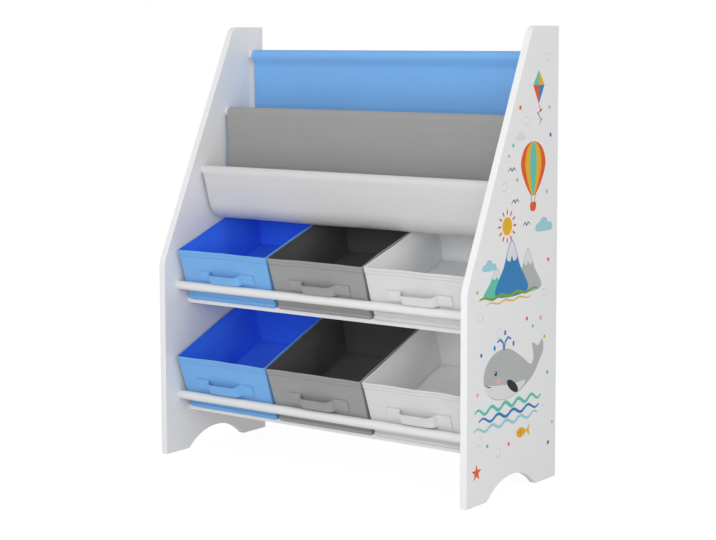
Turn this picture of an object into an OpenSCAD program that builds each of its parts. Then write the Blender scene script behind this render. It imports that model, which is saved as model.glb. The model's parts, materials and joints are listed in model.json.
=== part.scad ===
// Children's storage shelf. Two side panels carry nine round bars: three hold a hanging
// fabric sling with two book pockets, and on each of two sloping levels two bars carry a thin
// board and a third one in front keeps three fabric bins from sliding off.
// Units are millimetres. X runs to the right, Y from front to back, Z up. The origin lies on
// the floor in the middle of the panels' footprint.

/* [Side panels] */
// Width over the outer faces of both panels
frame_width = 630; // [500:5:900]
// Depth of a panel on the floor
frame_depth = 264; // [240:1:320]
// Height of a panel
frame_height = 733; // [700:1:800]
// Thickness of a panel
panel_thickness = 12; // [10:0.5:18]
// Length of the level top edge of a panel
top_edge = 79; // [60:1:100]
// Height at which the front edge starts to lean back
slope_start = 333; // [320:1:345]
// Radius where the front edge starts to lean back
bend_radius = 60; // [20:1:90]
// Radius of the upper front corner
corner_radius = 22; // [5:1:30]
// Length of the front foot on the floor
front_foot = 58; // [40:1:80]
// Length of the rear foot on the floor
rear_foot = 61; // [40:1:80]
// Height of the arch between the feet
arch_height = 29.6; // [15:0.1:40]

/* [Round bars] */
// Diameter of all bars
bar_diameter = 15; // [13:0.5:18]
// Distance of the guard rails behind the front edge
rail_y = 37; // [30:0.5:45]
// Height of the upper guard rail
upper_rail_z = 290.5; // [285:0.5:300]
// Height of the lower guard rail
lower_rail_z = 99.5; // [95:0.5:110]
// Distance of the front shelf bars behind the front edge
shelf_bar_y = 90; // [85:0.5:95]
// How far the upper front shelf bar lies below its guard rail
upper_bar_drop = 31; // [29:0.5:33]
// How far the lower front shelf bar lies below its guard rail
lower_bar_drop = 27.5; // [26:0.5:30]
// Distance of the rear shelf bars in front of the back edge
rear_bar_setback = 37.5; // [30:0.5:45]
// Distance of the top sling bar in front of the back edge
top_bar_setback = 31.2; // [25:0.1:36]
// How far the top sling bar lies below the panels' top
top_bar_drop = 49; // [40:0.5:60]
// Distance of the front sling bar behind the front edge
front_bar_y = 104; // [100:0.1:108]
// How far the front sling bar lies above the upper guard rail
front_bar_rise = 194.1; // [192:0.1:200]

/* [Shelf boards] */
// Slope of the upper level in degrees
upper_tilt = 19.5; // [17:0.1:21]
// Slope of the lower level in degrees
lower_tilt = 22.8; // [21:0.1:24]
// Thickness of a board
board_thickness = 9; // [6:0.5:10]
// How far a board stays short of the front and of the back of the bins
board_setback = 4; // [0:0.5:10]
// Depth of the groove that takes a board's end
groove_depth = 4; // [2:0.5:6]

/* [Bins] */
// Gap between the rims of two bins
bin_gap = 2.8; // [1.5:0.1:6]
// Gap between the rim of an outer bin and its panel
bin_side_gap = 6.7; // [3:0.1:12]
// How much narrower a bin is at its bottom
bin_taper = 4.7; // [0:0.1:12]
// Height of a bin square to its bottom
bin_height = 93; // [80:0.5:94]
// How far the bins' lower rear edge stays in front of the panels' back edge
bin_back_room = 15.9; // [12:0.1:22]
// How much further back the rim of the leaning rear wall reaches than its bottom
bin_flare = 17; // [5:0.5:20]
// Thickness of the walls and the bottom
bin_wall = 3; // [2:0.1:5]
// Height of the folded hem along the rim
hem_height = 8; // [5:0.5:12]
// How far the hem stands out from the wall
hem_relief = 0.6; // [0.3:0.1:1.2]
// Thickness of the loose padded board in a bin's bottom
insert_thickness = 7; // [4:0.5:8]

/* [Bin handles] */
// Height of the strap's lower edge above the bottom of the bin
handle_base = 39; // [38.5:0.5:50]
// Width of the strap
strap_width = 20; // [15:0.5:25]
// Thickness of the strap
strap_thickness = 1.6; // [1:0.1:2.5]
// Length of the strap from one sewn end to the other
strap_span = 124; // [110:1:140]
// Length of the loop between the sewn ends
loop_span = 66; // [60:1:80]
// Room for the fingers between the loop and the bin
loop_room = 10.4; // [8:0.1:12]

/* [Sling] */
// Thickness of the fabric
cloth_thickness = 1.2; // [0.8:0.1:2]
// Gap between the fabric's side edges and the panels
cloth_side_gap = 6; // [4:0.5:12]
// How much larger the radius of a sleeve is than that of its bar
sleeve_slack = 1.5; // [0.8:0.1:2]
// Distance from the middle of the top sleeve to its seam
seam_drop = 16; // [14:0.5:24]
// How far the bottom of the rear pocket lies below the front bar
rear_pocket_drop = 14.6; // [5:0.1:20]
// How far the bottom of the front pocket lies below the front bar
front_pocket_drop = 86.1; // [70:0.1:87]
// Lean of the front sheet in degrees
front_lean = 15.8; // [10:0.1:17]
// Radius of the front pocket's rear bend; its belly fills the rest
pocket_bend = 10.7; // [7:0.1:13]
// How far the middle sheet hangs down below the front bar
middle_drop = 77.3; // [65:0.1:78]
// Height of a hem that is sewn flat on the middle sheet
sewn_hem = 12; // [8:0.5:14]

/* [Fasteners] */
// Diameter of a bolt's shank
bolt_diameter = 6; // [5:0.5:6]
// Diameter of a bolt's head and of its cover
head_diameter = 13; // [12:0.5:15]
// Thickness of a bolt's head
head_thickness = 1.5; // [1:0.1:3]
// Thickness of a cover
cover_thickness = 1; // [0.8:0.1:2]
// How far a bolt reaches into its bar
bolt_reach = 14; // [10:0.5:20]
// Outer diameter of a threaded insert
insert_diameter = 9.8; // [9:0.1:10.5]
// Length of a threaded insert
insert_length = 16; // [12:0.5:22]

/* [Hidden] */
$fn = 64;
fit = 0.15;      // radial clearance of fasteners in their holes
seat_gap = 0.3;  // between a bin and its guard rail
rest_gap = 0.3;  // between a bin and its board
bar_gap = 0.1;   // between a board and its bars
base_fit = 0.5;  // between the loose board and the walls of a bin
root_gap = 0.1;  // how far a strap's sewn end starts outside its loop's root

half = frame_width / 2;
inner = half - panel_thickness;
bar_r = bar_diameter / 2;
function along(tilt) = [cos(tilt), sin(tilt)];
function up(tilt) = [-sin(tilt), cos(tilt)];

// Bars as [y, z] behind the front edge and above the floor
upper_rail = [rail_y, upper_rail_z];
lower_rail = [rail_y, lower_rail_z];
upper_front_bar = [shelf_bar_y, upper_rail_z - upper_bar_drop];
lower_front_bar = [shelf_bar_y, lower_rail_z - lower_bar_drop];
shelf_bar_pitch = frame_depth - rear_bar_setback - shelf_bar_y;
upper_rear_bar = upper_front_bar + shelf_bar_pitch * [1, tan(upper_tilt)];
lower_rear_bar = lower_front_bar + shelf_bar_pitch * [1, tan(lower_tilt)];
top_bar = [frame_depth - top_bar_setback, frame_height - top_bar_drop];
front_bar = [front_bar_y, upper_rail_z + front_bar_rise];
middle_bar = (top_bar + front_bar) / 2;
bars = [upper_rail, lower_rail, upper_front_bar, lower_front_bar, upper_rear_bar,
        lower_rear_bar, top_bar, middle_bar, front_bar];

// A level is the lower front edge of its bins, in [y, z], and its slope
board_rise = bar_r + bar_gap + board_thickness + rest_gap;
function level(rail, bar, tilt) =
  let (reach = (rail - bar) * along(tilt) + bar_r + seat_gap)
  [bar + board_rise * up(tilt) + reach * along(tilt), tilt];
upper_level = level(upper_rail, upper_front_bar, upper_tilt);
lower_level = level(lower_rail, lower_front_bar, lower_tilt);

// Bins
bin_rim_width = (2 * inner - 2 * bin_side_gap - 2 * bin_gap) / 3;
bin_pitch = bin_rim_width + bin_gap;
bin_depth = (frame_depth - bin_back_room - upper_level[0][0]) / cos(upper_tilt);
board_length = bin_depth - 2 * board_setback;
body_half = bin_rim_width / 2 - hem_relief;
base_half = (bin_rim_width - bin_taper) / 2;
function wall_x(n) = base_half + (body_half - base_half) * n / bin_height;
function rear_wall(n) = bin_depth + bin_flare * n / bin_height;
loop_half = loop_span / 2;
loop_r = (loop_half * loop_half + loop_room * loop_room) / (2 * loop_room);

// Fabric
sleeve_r = bar_r + sleeve_slack;
sleeve_out = sleeve_r + cloth_thickness;
sleeve_sag = sleeve_slack - 0.3;
cloth_half = inner - cloth_side_gap;
half_cloth = cloth_thickness / 2;
top_sleeve = top_bar - [0, sleeve_sag];
middle_sleeve = middle_bar - [0, sleeve_sag];
front_sleeve = front_bar - [0, sleeve_sag];
middle_face = middle_sleeve[0] - sleeve_out;
middle_back = middle_face + cloth_thickness;
bend_step = 90 / 12;  // between two points of the front pocket's rear bend
function polar(r, a) = [r * cos(a), r * sin(a)];
function bow(c, r, a, b, n) = [for (i = [0:n]) c + polar(r, a + (b - a) * i / n)];

// Moves a shape from the measured frame, whose Y starts at the front edge, to the part frame
module placed() {
  translate([0, -frame_depth / 2, 0]) children();
}

// Draws a [y, z] profile and gives it a length along X
module across(length) {
  rotate([90, 0, 90]) linear_extrude(height = length, center = true) children();
}

// Cuts a corner with straight sides along a and b to a true arc
module corner_cut(v, a, b, r) {
  h = acos(a * b) / 2;
  w = (a + b) / norm(a + b);
  t = r / tan(h);
  k = t * cos(h) + 2;
  difference() {
    polygon([v + t * a, v + t * a - k * w, v + t * b - k * w, v + t * b]);
    translate(v + r / sin(h) * w) circle(r = r);
  }
}

// Panel outline in [y, z]
module panel_outline() {
  top_front = [frame_depth - top_edge, frame_height];
  bend = [0, slope_start];
  lean = (top_front - bend) / norm(top_front - bend);
  chord = frame_depth - front_foot - rear_foot;
  arch_r = (chord * chord / 4 + arch_height * arch_height) / (2 * arch_height);
  difference() {
    polygon([[0, 0], bend, top_front, [frame_depth, frame_height], [frame_depth, 0]]);
    corner_cut(bend, [0, -1], lean, bend_radius);
    corner_cut(top_front, -lean, [1, 0], corner_radius);
    translate([front_foot + chord / 2, arch_height - arch_r]) circle(r = arch_r);
  }
}

// Groove for a board's end, in [y, z]
module groove(level) {
  translate(level[0]) rotate(level[1])
    translate([board_setback - fit, -rest_gap - board_thickness - fit])
      square([board_length + 2 * fit, board_thickness + 2 * fit]);
}

// One panel, side = -1 left and 1 right
module side_panel(side) {
  placed() difference() {
    translate([side * (half - panel_thickness / 2), 0, 0]) across(panel_thickness)
      panel_outline();
    for (level = [upper_level, lower_level])
      translate([side * inner, 0, 0]) across(2 * groove_depth) groove(level);
    for (p = bars) translate([side * (half - panel_thickness / 2), p[0], p[1]])
      rotate([0, 90, 0]) cylinder(d = bolt_diameter + 2 * fit, h = 2 * panel_thickness,
                                  center = true);
    for (p = bars) translate([side * half, p[0], p[1]])
      rotate([0, 90, 0]) cylinder(d = head_diameter + 2 * fit,
                                  h = 2 * (head_thickness + cover_thickness), center = true);
  }
}

module bar(p) {
  placed() translate([0, p[0], p[1]]) rotate([0, 90, 0]) difference() {
    cylinder(d = bar_diameter, h = 2 * inner, center = true);
    for (s = [-1, 1]) translate([0, 0, s * inner])
      cylinder(d = insert_diameter + 2 * fit, h = 2 * (insert_length + 1), center = true);
  }
}

// A piece of each bar's end, turned so that its own Z points out of the panel
module at_bars(side) {
  for (p = bars) placed() translate([side * inner, p[0], p[1]]) rotate([0, side * 90, 0])
    children();
}

module rod_inserts(side) {
  at_bars(side) translate([0, 0, -insert_length]) difference() {
    cylinder(d = insert_diameter, h = insert_length);
    translate([0, 0, -1]) cylinder(d = bolt_diameter + 2 * fit, h = insert_length + 2);
  }
}

module bolts(side) {
  head_z = panel_thickness - cover_thickness - head_thickness;
  at_bars(side) union() {
    translate([0, 0, -bolt_reach])
      cylinder(d = bolt_diameter, h = bolt_reach + head_z + head_thickness / 2);
    translate([0, 0, head_z]) cylinder(d = head_diameter, h = head_thickness);
  }
}

module bolt_covers(side) {
  at_bars(side) translate([0, 0, panel_thickness - cover_thickness])
    cylinder(d = head_diameter, h = cover_thickness);
}

// Puts a shape on a level: its Y runs up the slope from the bins' front, its Z square to it
module on_level(level) {
  placed() translate([0, level[0][0], level[0][1]]) rotate([level[1], 0, 0]) children();
}

module shelf_board(level) {
  width = 2 * (inner + groove_depth - 2 * fit);
  on_level(level) translate([-width / 2, board_setback, -rest_gap - board_thickness])
    cube([width, board_length, board_thickness]);
}

// A trapezium in X and height that runs up the slope from start and ends inset short of the
// outside of the leaning rear wall
module bin_block(low, high, half_low, half_high, start, inset) {
  far = rear_wall(high) + 5;
  intersection() {
    translate([0, far, 0]) rotate([90, 0, 0]) linear_extrude(height = far + 5)
      polygon([[-half_low, low], [half_low, low], [half_high, high], [-half_high, high]]);
    across(2 * half_high + 10)
      polygon([[start, low - 1], [rear_wall(low - 1) - inset, low - 1],
               [rear_wall(high + 1) - inset, high + 1], [start, high + 1]]);
  }
}

module bin_shell(level, column) {
  band = bin_height - hem_height;
  top = bin_height + 5;
  on_level(level) translate([column * bin_pitch, 0, 0]) difference() {
    union() {
      bin_block(0, bin_height, base_half, body_half, 0, 0);
      bin_block(band, bin_height, wall_x(band) + hem_relief, body_half + hem_relief,
                -hem_relief / 2, -hem_relief);
    }
    bin_block(bin_wall, top, wall_x(bin_wall) - bin_wall, wall_x(top) - bin_wall,
              bin_wall, bin_wall);
  }
}

module bin_base(level, column) {
  edge = bin_wall + base_fit;
  width = 2 * (wall_x(bin_wall) - edge);
  on_level(level) translate([column * bin_pitch - width / 2, edge, bin_wall])
    cube([width, bin_depth - 2 * edge, insert_thickness]);
}

module bin_handle(level, column) {
  end = (strap_span - loop_span) / 2 - root_gap;
  on_level(level) translate([column * bin_pitch, 0, handle_base])
    linear_extrude(height = strap_width) {
      for (s = [-1, 1]) translate([s * (strap_span - end) / 2, -strap_thickness / 2])
        square([end, strap_thickness], center = true);
      difference() {
        translate([0, loop_r - loop_room]) circle(r = loop_r + strap_thickness);
        translate([0, loop_r - loop_room]) circle(r = loop_r);
        translate([-loop_r * 2, 0]) square([loop_r * 4, loop_r * 4]);
      }
    }
}

// Outline of a sleeve from the front of its sheet round the bar to the back of the sheet
function sleeve_arc(c, lean) =
  bow(c, sleeve_out, 180 + lean, acos(sleeve_r / sleeve_out) + lean - 180, 30);

// Back sheet: closed sleeve, straight back and the rounded bottom of the rear pocket
module back_cloth() {
  y = top_sleeve[0] - cloth_thickness;
  hem_y = middle_back + half_cloth;
  r = (y - hem_y) / 2;
  c = [y - r, front_bar[1] - rear_pocket_drop + half_cloth + r];
  seam = top_sleeve[1] - seam_drop;
  front = [y - half_cloth, seam] - top_sleeve;
  back = [y + half_cloth, seam] - top_sleeve;
  tip = [y, seam + 2 * cloth_thickness] - top_sleeve;
  front_a = 360 + atan2(front[1], front[0]) - acos(sleeve_out / norm(front));
  back_a = atan2(back[1], back[0]) + acos(sleeve_out / norm(back));
  tip_a = atan2(tip[1], tip[0]);
  tip_w = acos(sleeve_r / norm(tip));
  placed() across(2 * cloth_half) difference() {
    polygon(concat(
      bow(top_sleeve, sleeve_out, front_a, back_a, 30),
      [top_sleeve + back],
      bow(c, r + half_cloth, 0, -180, 36),
      [[hem_y - half_cloth, c[1] + sewn_hem], [hem_y + half_cloth, c[1] + sewn_hem]],
      bow(c, r - half_cloth, -180, 0, 36),
      [top_sleeve + front]));
    polygon(concat(
      bow(top_sleeve, sleeve_r, 360 + tip_a - tip_w, tip_a + tip_w, 30),
      [top_sleeve + tip]));
  }
}

// Middle sheet: sleeve and straight sheet
module middle_cloth() {
  low = front_bar[1] - middle_drop;
  placed() across(2 * cloth_half) difference() {
    polygon(concat(
      sleeve_arc(middle_sleeve, 0),
      [[middle_back, low], [middle_face, low]]));
    translate(middle_sleeve) circle(r = sleeve_r);
  }
}

// Front sheet: sleeve, leaning front, belly, and a hem flat on the middle sheet
module front_cloth() {
  low = front_bar[1] - front_pocket_drop;
  mid = sleeve_r + half_cloth;
  hem_y = middle_face - half_cloth;
  r = pocket_bend;
  reach = hem_y - r - front_sleeve[0];
  fall = front_sleeve[1] - low - half_cloth;
  belly = (reach * cos(front_lean) + mid - fall * sin(front_lean)) / (1 - sin(front_lean));
  c = [hem_y - r, low + half_cloth + belly];
  d = [hem_y - r, low + half_cloth + r];
  placed() across(2 * cloth_half) difference() {
    polygon(concat(
      sleeve_arc(front_sleeve, front_lean),
      bow(c, belly - half_cloth, 180 + front_lean, 270, 16),
      bow(d, r - half_cloth, 270 + bend_step, 360, 11),
      [[hem_y - half_cloth, d[1] + sewn_hem], [hem_y + half_cloth, d[1] + sewn_hem]],
      bow(d, r + half_cloth, 360, 270 + bend_step, 11),
      bow(c, belly + half_cloth, 270, 180 + front_lean, 16)));
    translate(front_sleeve) circle(r = sleeve_r);
  }
}

module side_panel_left() { color([0.93, 0.93, 0.94]) side_panel(-1); }
module side_panel_right() { color([0.93, 0.93, 0.94]) side_panel(1); }
module upper_shelf_board() { color([0.94, 0.94, 0.95]) shelf_board(upper_level); }
module lower_shelf_board() { color([0.94, 0.94, 0.95]) shelf_board(lower_level); }
module upper_guard_rail() { color([0.95, 0.94, 0.92]) bar(upper_rail); }
module lower_guard_rail() { color([0.95, 0.94, 0.92]) bar(lower_rail); }
module upper_front_crossbar() { color([0.95, 0.94, 0.92]) bar(upper_front_bar); }
module upper_rear_crossbar() { color([0.95, 0.94, 0.92]) bar(upper_rear_bar); }
module lower_front_crossbar() { color([0.95, 0.94, 0.92]) bar(lower_front_bar); }
module lower_rear_crossbar() { color([0.95, 0.94, 0.92]) bar(lower_rear_bar); }
module top_sling_rod() { color([0.95, 0.94, 0.92]) bar(top_bar); }
module middle_sling_rod() { color([0.95, 0.94, 0.92]) bar(middle_bar); }
module front_sling_rod() { color([0.95, 0.94, 0.92]) bar(front_bar); }
module sling_back_cloth() { color([0.42, 0.61, 0.84]) back_cloth(); }
module sling_middle_cloth() { color([0.59, 0.59, 0.6]) middle_cloth(); }
module sling_front_cloth() { color([0.9, 0.9, 0.91]) front_cloth(); }
module rod_inserts_left() { color([0.75, 0.7, 0.55]) rod_inserts(-1); }
module rod_inserts_right() { color([0.75, 0.7, 0.55]) rod_inserts(1); }
module bolts_left() { color([0.7, 0.7, 0.72]) bolts(-1); }
module bolts_right() { color([0.7, 0.7, 0.72]) bolts(1); }
module bolt_covers_left() { color([0.96, 0.96, 0.96]) bolt_covers(-1); }
module bolt_covers_right() { color([0.96, 0.96, 0.96]) bolt_covers(1); }
module upper_blue_bin() { color([0.45, 0.67, 0.88]) bin_shell(upper_level, -1); }
module upper_blue_base() { color([0.3, 0.5, 0.8]) bin_base(upper_level, -1); }
module upper_blue_handle() { color([0.5, 0.72, 0.92]) bin_handle(upper_level, -1); }
module upper_grey_bin() { color([0.55, 0.55, 0.56]) bin_shell(upper_level, 0); }
module upper_grey_base() { color([0.45, 0.45, 0.46]) bin_base(upper_level, 0); }
module upper_grey_handle() { color([0.6, 0.6, 0.61]) bin_handle(upper_level, 0); }
module upper_white_bin() { color([0.9, 0.9, 0.92]) bin_shell(upper_level, 1); }
module upper_white_base() { color([0.85, 0.85, 0.87]) bin_base(upper_level, 1); }
module upper_white_handle() { color([0.94, 0.94, 0.95]) bin_handle(upper_level, 1); }
module lower_blue_bin() { color([0.45, 0.67, 0.88]) bin_shell(lower_level, -1); }
module lower_blue_base() { color([0.3, 0.5, 0.8]) bin_base(lower_level, -1); }
module lower_blue_handle() { color([0.5, 0.72, 0.92]) bin_handle(lower_level, -1); }
module lower_grey_bin() { color([0.55, 0.55, 0.56]) bin_shell(lower_level, 0); }
module lower_grey_base() { color([0.45, 0.45, 0.46]) bin_base(lower_level, 0); }
module lower_grey_handle() { color([0.6, 0.6, 0.61]) bin_handle(lower_level, 0); }
module lower_white_bin() { color([0.9, 0.9, 0.92]) bin_shell(lower_level, 1); }
module lower_white_base() { color([0.85, 0.85, 0.87]) bin_base(lower_level, 1); }
module lower_white_handle() { color([0.94, 0.94, 0.95]) bin_handle(lower_level, 1); }

side_panel_left();
side_panel_right();
upper_shelf_board();
lower_shelf_board();
upper_guard_rail();
lower_guard_rail();
upper_front_crossbar();
upper_rear_crossbar();
lower_front_crossbar();
lower_rear_crossbar();
top_sling_rod();
middle_sling_rod();
front_sling_rod();
sling_back_cloth();
sling_middle_cloth();
sling_front_cloth();
rod_inserts_left();
rod_inserts_right();
bolts_left();
bolts_right();
bolt_covers_left();
bolt_covers_right();
upper_blue_bin();
upper_blue_base();
upper_blue_handle();
upper_grey_bin();
upper_grey_base();
upper_grey_handle();
upper_white_bin();
upper_white_base();
upper_white_handle();
lower_blue_bin();
lower_blue_base();
lower_blue_handle();
lower_grey_bin();
lower_grey_base();
lower_grey_handle();
lower_white_bin();
lower_white_base();
lower_white_handle();
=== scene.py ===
# %% [markdown]
# # A children's shelf with a hanging sling and six fabric bins
#
# Two painted board panels carry nine round bars. Three bars hold a fabric sling with two book
# pockets, and the others carry two sloping boards and the rails that stop six fabric bins.
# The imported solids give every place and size. This script dresses them: it rounds the board's
# edges, hangs the cloth, sews the bins and lights the whole in a plain white studio.

# %% Load the frame
import json
import math
import bmesh
import bpy
import numpy as np
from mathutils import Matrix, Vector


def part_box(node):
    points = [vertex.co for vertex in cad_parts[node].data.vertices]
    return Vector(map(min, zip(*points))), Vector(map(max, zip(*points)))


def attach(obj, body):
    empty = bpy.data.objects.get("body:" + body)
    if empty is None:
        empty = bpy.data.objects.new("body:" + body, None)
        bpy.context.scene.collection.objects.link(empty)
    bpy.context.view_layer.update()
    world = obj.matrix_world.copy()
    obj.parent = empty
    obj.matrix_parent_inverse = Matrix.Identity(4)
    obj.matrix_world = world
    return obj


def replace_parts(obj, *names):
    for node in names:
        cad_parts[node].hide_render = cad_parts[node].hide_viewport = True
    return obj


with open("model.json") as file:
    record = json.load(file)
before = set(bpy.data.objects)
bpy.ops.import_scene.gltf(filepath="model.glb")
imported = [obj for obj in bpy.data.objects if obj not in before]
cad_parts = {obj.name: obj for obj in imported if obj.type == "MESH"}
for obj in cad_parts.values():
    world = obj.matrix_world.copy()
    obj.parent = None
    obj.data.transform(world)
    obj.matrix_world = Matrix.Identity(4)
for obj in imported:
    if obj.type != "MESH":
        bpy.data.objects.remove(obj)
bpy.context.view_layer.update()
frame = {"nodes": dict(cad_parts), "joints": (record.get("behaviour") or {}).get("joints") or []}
MM = 0.001

# %% [markdown]
# ## Where things are
#
# Lengths below are millimetres, in the same frame as the solids. A bar's middle comes from its
# own box. Each of the two levels is a tilted frame: `s` runs up the slope from the front of
# the bins, `n` stands square to it. Its corner is the lowest point of a bin, and its slope is
# the direction in which a bin slides. The lower level is a little steeper.

# %% Places read from the solids
def box_mm(node):
    """Lowest and highest corner of a solid, in millimetres."""
    low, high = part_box(node)
    return np.array(low) / MM, np.array(high) / MM


def bar_centre(node):
    """Middle of a round bar as (y, z)."""
    low, high = box_mm(node)
    return ((low + high) / 2)[1:]


LEVELS = ("upper", "lower")
BIN_HEIGHT = 93.0
HEM_RELIEF = 0.6


def level_frame(level):
    """A level's corner, its way up the slope and its way square to it, each as (y, z). The corner
    has the bins' lowest z, and the rim's front y moved back by what the wall leans over it."""
    slide = next(j for j in frame["joints"] if j["name"] == f"{level}_grey_slide")
    along = np.array(slide["axis"][1:])
    square = np.array([-along[1], along[0]])
    low, _ = box_mm(f"{level}_grey_bin")
    corner = np.array([low[1] - BIN_HEIGHT * square[0] + HEM_RELIEF / 2 * along[0], low[2]])
    print(level, "slope in degrees", round(math.degrees(math.atan2(along[1], along[0])), 2),
          "corner", corner.round(2))
    return corner, along, square


level_frames = {level: level_frame(level) for level in LEVELS}


def on_level(level, x, s, n):
    """Points of a level's frame in the shelf's own: the corner plus s times the way up the slope
    plus n times the way square to it. x, s and n are arrays, and so is what comes back."""
    corner, along, square = level_frames[level]
    s, n = np.asarray(s, float), np.asarray(n, float)
    y = corner[0] + s * along[0] + n * square[0]
    z = corner[1] + s * along[1] + n * square[1]
    return np.stack(np.broadcast_arrays(np.asarray(x, float), y, z), -1)


# %% [markdown]
# ## Camera
#
# The picture looks down on the shelf from its right, from about three metres with a long
# lens, so near and far edges stay almost parallel. A camera can be aimed by a constraint, but
# plain numbers for place, turn and dip are easier to compare with a photograph. A small shift
# slides the picture in the frame without turning the camera, so upright edges stay upright.

# %% Camera
CAMERA_PLACE = (1742.0, -2295.3, 710.6)
CAMERA_TURN = math.radians(35.736)
CAMERA_DIP = math.radians(5.658)
FILM_WIDTH, LENS = 36, 87.72
SHIFT_X, SHIFT_Y = -0.0543, -0.08
camera_data = bpy.data.cameras.new("camera")
camera_data.sensor_width, camera_data.lens = FILM_WIDTH, LENS
camera_data.shift_x, camera_data.shift_y = SHIFT_X, SHIFT_Y
camera = bpy.data.objects.new("camera", camera_data)
camera.location = [v * MM for v in CAMERA_PLACE]
camera.rotation_euler = (math.pi / 2 - CAMERA_DIP, 0, CAMERA_TURN)
bpy.context.scene.collection.objects.link(camera)
bpy.context.scene.camera = camera
print("camera", round(math.hypot(*CAMERA_PLACE) * MM, 2), "m from the shelf's foot, lens", LENS, "mm")

# %% [markdown]
# ## From arrays to meshes
#
# Shapes can be modelled by hand from cubes and cylinders, but then every change of a size means
# work on all of them. Here each new surface is worked out as one array of points over two
# parameters. A grid of rows and columns gives its faces, and the two parameters, in
# millimetres, give the cloth its own coordinates, so a weave follows it round every bend.

# %% Mesh helpers
def grid_faces(rows, cols):
    """Four corner numbers of every cell of a rows by cols grid."""
    i, j = np.meshgrid(np.arange(rows - 1), np.arange(cols - 1), indexing="ij")
    first = i * cols + j
    return np.stack([first, first + 1, first + cols + 1, first + cols], -1).reshape(-1, 4)


def add_mesh(name, points, faces, materials, body, uv=None, merge=0.02, pick=None):
    """Makes a smooth mesh of points in millimetres. Points closer than merge are joined and the
    faces turned outwards; pick gives each face its material's number."""
    mesh = bpy.data.meshes.new(name)
    points = np.asarray(points, float).reshape(-1, 3) * MM
    mesh.from_pydata(points.tolist(), [], [list(map(int, f)) for f in faces])
    for material in materials:
        mesh.materials.append(material)
    if pick is not None:
        mesh.polygons.foreach_set("material_index", np.asarray(pick, np.int32))
    if uv is not None:
        corner = np.zeros(len(mesh.loops), np.int32)
        mesh.loops.foreach_get("vertex_index", corner)
        flat = np.asarray(uv, float).reshape(-1, 2)[corner] * MM
        mesh.uv_layers.new(name="UVMap").data.foreach_set("uv", flat.astype(np.float32).ravel())
    solid = bmesh.new()
    solid.from_mesh(mesh)
    bmesh.ops.remove_doubles(solid, verts=solid.verts, dist=merge * MM)
    bmesh.ops.recalc_face_normals(solid, faces=solid.faces)
    solid.to_mesh(mesh)
    solid.free()
    mesh.shade_smooth()
    piece = bpy.data.objects.new(name, mesh)
    bpy.context.scene.collection.objects.link(piece)
    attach(piece, body)
    return piece


print("a grid of 3 by 4 points has", len(grid_faces(3, 4)), "faces")

# %% [markdown]
# ## Finishes as node groups
#
# Every cloth on the shelf is the same kind of plain weave, and its boards and bars have the
# same satin paint. Each finish could be built again in every material, or come from a picture
# of cloth. A node group is built once and placed in each material with its own colour, and it
# stays sharp at any distance. In the cloth group two crossed sine waves give the threads, and
# soft noise makes the dye a little uneven. The threads also paint a faint shade into the colour,
# darker in the pits of the weave. The paint group adds a faint orange peel and slow changes of tone.

# %% Node helpers
def add_node(tree, kind, inputs=None, **settings):
    """Adds a shader node. An input is a number, a colour or another node's output."""
    made = tree.nodes.new(kind)
    for key, setting in settings.items():
        setattr(made, key, setting)
    for socket, value in (inputs or {}).items():
        if isinstance(value, bpy.types.NodeSocket):
            tree.links.new(value, made.inputs[socket])
        else:
            made.inputs[socket].default_value = value
    return made


def math_node(tree, operation, a, b=0.0, c=0.0):
    """A Math node's result for up to three numbers or outputs."""
    return add_node(tree, "ShaderNodeMath", {0: a, 1: b, 2: c}, operation=operation).outputs[0]


def new_group(name, inputs, outputs):
    """An empty node group with its sockets, and its input and output nodes."""
    group = bpy.data.node_groups.new(name, "ShaderNodeTree")
    for label, kind, start in inputs:
        socket = group.interface.new_socket(label, in_out="INPUT", socket_type=kind)
        if start is not None:
            socket.default_value = start
    for label, kind in outputs:
        group.interface.new_socket(label, in_out="OUTPUT", socket_type=kind)
    return group, group.nodes.new("NodeGroupInput"), group.nodes.new("NodeGroupOutput")


print("node groups so far:", len(bpy.data.node_groups))

# %% Woven cloth group
WEAVE_PIT_SHADE = 0.03
cloth_group, given, result = new_group("woven cloth",
    [("Vector", "NodeSocketVector", None), ("Colour", "NodeSocketColor", (1, 1, 1, 1)),
     ("Threads", "NodeSocketFloat", 900.0), ("Unevenness", "NodeSocketFloat", 0.06)],
    [("Colour", "NodeSocketColor"), ("Height", "NodeSocketFloat")])
split = add_node(cloth_group, "ShaderNodeSeparateXYZ", {0: given.outputs["Vector"]})
turns = math_node(cloth_group, "MULTIPLY", given.outputs["Threads"], 2 * math.pi)
warp = math_node(cloth_group, "SINE", math_node(cloth_group, "MULTIPLY", split.outputs[0], turns))
weft = math_node(cloth_group, "SINE", math_node(cloth_group, "MULTIPLY", split.outputs[1], turns))
weave = math_node(cloth_group, "MULTIPLY", warp, weft)
slub = add_node(cloth_group, "ShaderNodeTexNoise",
                {"Vector": given.outputs["Vector"], "Scale": 55.0, "Detail": 5.0, "Roughness": 0.62})
uneven = math_node(cloth_group, "SUBTRACT", slub.outputs[0], 0.5)
shade = math_node(cloth_group, "MULTIPLY_ADD", uneven, given.outputs["Unevenness"], 1.0)
# painted shade: the colour is a little darker where the weave is low, in the pits between threads
pit_shade = math_node(cloth_group, "MULTIPLY_ADD", weave, WEAVE_PIT_SHADE, 1.0)
tone = add_node(cloth_group, "ShaderNodeVectorMath",
                {0: given.outputs["Colour"], "Scale": math_node(cloth_group, "MULTIPLY", shade, pit_shade)},
                operation="SCALE")
cloth_group.links.new(tone.outputs[0], result.inputs["Colour"])
cloth_group.links.new(weave, result.inputs["Height"])
print("woven cloth group:", len(cloth_group.nodes), "nodes")

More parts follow.
